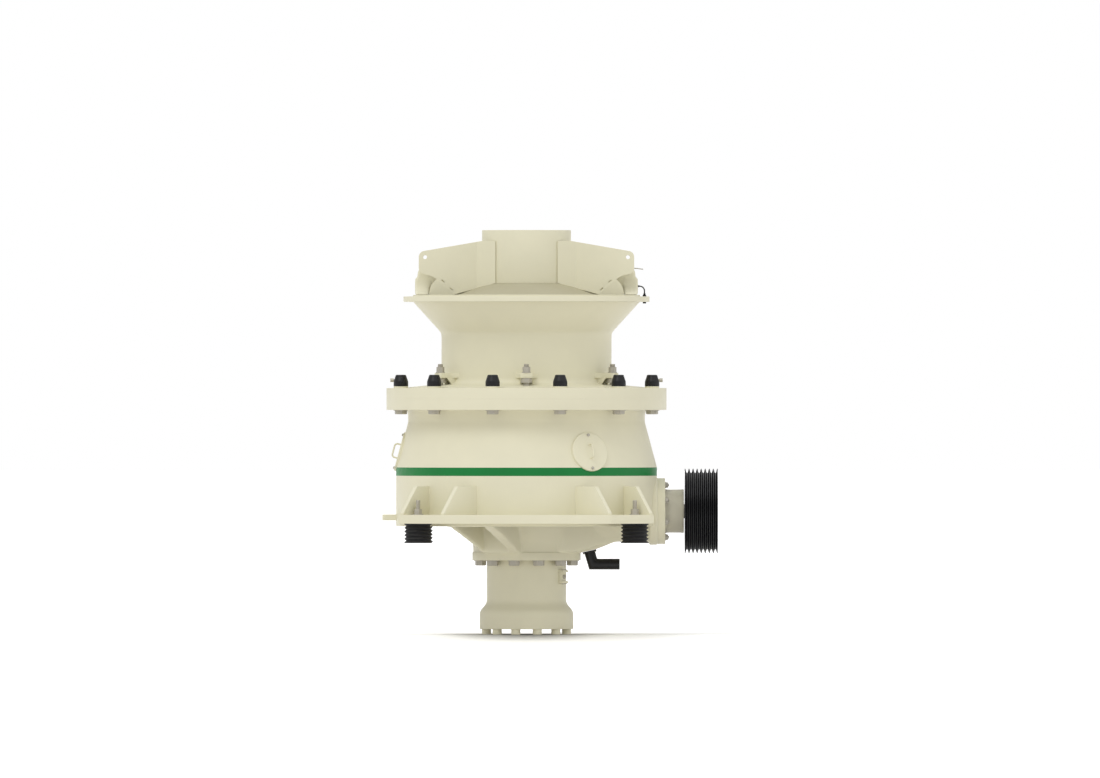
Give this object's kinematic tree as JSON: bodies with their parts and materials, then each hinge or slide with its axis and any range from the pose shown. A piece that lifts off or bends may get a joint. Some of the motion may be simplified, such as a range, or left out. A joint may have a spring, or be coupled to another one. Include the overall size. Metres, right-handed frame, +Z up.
{
  "type": "cone crusher",
  "caption": "Cone crusher on a hydraulic cylinder, with a three-arm bottom shell on rubber mounts, a flared top shell, a two-arm spider with shields, and a grooved drive pulley.",
  "frame": {"origin": "on the machine's vertical axis, at the underside of the cylinder's cover plate; the cover's screw heads reach 33 mm below it to the ground", "axes": "+Z up along the machine's axis, +X along the pinion shaft towards the pulley, -Y towards the pictured front"},
  "size_m": [2.1134, 1.952, 2.5458],
  "materials": {
    "cream_paint": "satin cream paint on castings, with a green band round the bottom shell",
    "khaki_paint": "matt khaki paint on the conical skirt",
    "tube_paint": "greyer satin paint on the bearing tube",
    "black_rubber": "matt black rubber",
    "black_plastic": "satin black moulded plastic",
    "pulley_iron": "black painted cast iron",
    "shaft_steel": "turned steel",
    "manganese_steel": "rough cast manganese steel"
  },
  "bodies": {
    "frame": {"cylinder_cover": "cream_paint", "hydraulic_cylinder": "cream_paint", "cylinder_port_block": "cream_paint", "shell_hub": "cream_paint", "bottom_shell": "cream_paint", "shell_cone": "cream_paint", "shell_flange": "cream_paint", "shell_arm_front": "cream_paint", "shell_arm_rear": "cream_paint", "pinion_tunnel": "cream_paint", "pinion_flange": "cream_paint", "bearing_tube": "tube_paint", "mounting_shelf_front": "cream_paint", "mounting_shelf_rear": "cream_paint", "rubber_mount_front_left": "black_rubber", "rubber_mount_front_right": "black_rubber", "rubber_mount_rear_left": "black_rubber", "rubber_mount_rear_right": "black_rubber", "side_lug": "cream_paint", "top_flange": "cream_paint", "top_shell": "cream_paint", "top_flare": "cream_paint", "rim_flange": "cream_paint", "bolt_cap_01": "black_plastic", "bolt_cap_02": "black_plastic", "bolt_cap_03": "black_plastic", "bolt_cap_04": "black_plastic", "bolt_cap_05": "black_plastic", "bolt_cap_06": "black_plastic", "bolt_cap_07": "black_plastic", "bolt_cap_08": "black_plastic", "bolt_cap_09": "black_plastic", "bolt_cap_10": "black_plastic", "bolt_cap_11": "black_plastic", "bolt_cap_12": "black_plastic", "concave_liner": "manganese_steel", "mantle": "manganese_steel", "main_shaft": "shaft_steel", "spider": "cream_paint", "hub_guard": "cream_paint", "hub_skirt": "khaki_paint", "arm_shield_front_left": "cream_paint", "arm_shield_front_right": "cream_paint", "arm_shield_rear_left": "cream_paint", "arm_shield_rear_right": "cream_paint", "inspection_hatch_front_right": "cream_paint", "inspection_hatch_left": "cream_paint", "inspection_hatch_rear_right": "cream_paint", "drain_elbow": "black_plastic", "grease_hose": "black_rubber"},
    "pulley": {"drive_pulley": "pulley_iron", "pinion_shaft": "shaft_steel"}
  },
  "joints": [
    {"name": "pulley_spin", "type": "hinge", "parent": "frame", "child": "pulley", "pos_m": [1.1, 0, 0.743], "axis": [1, 0, 0], "continuous": true}
  ]
}
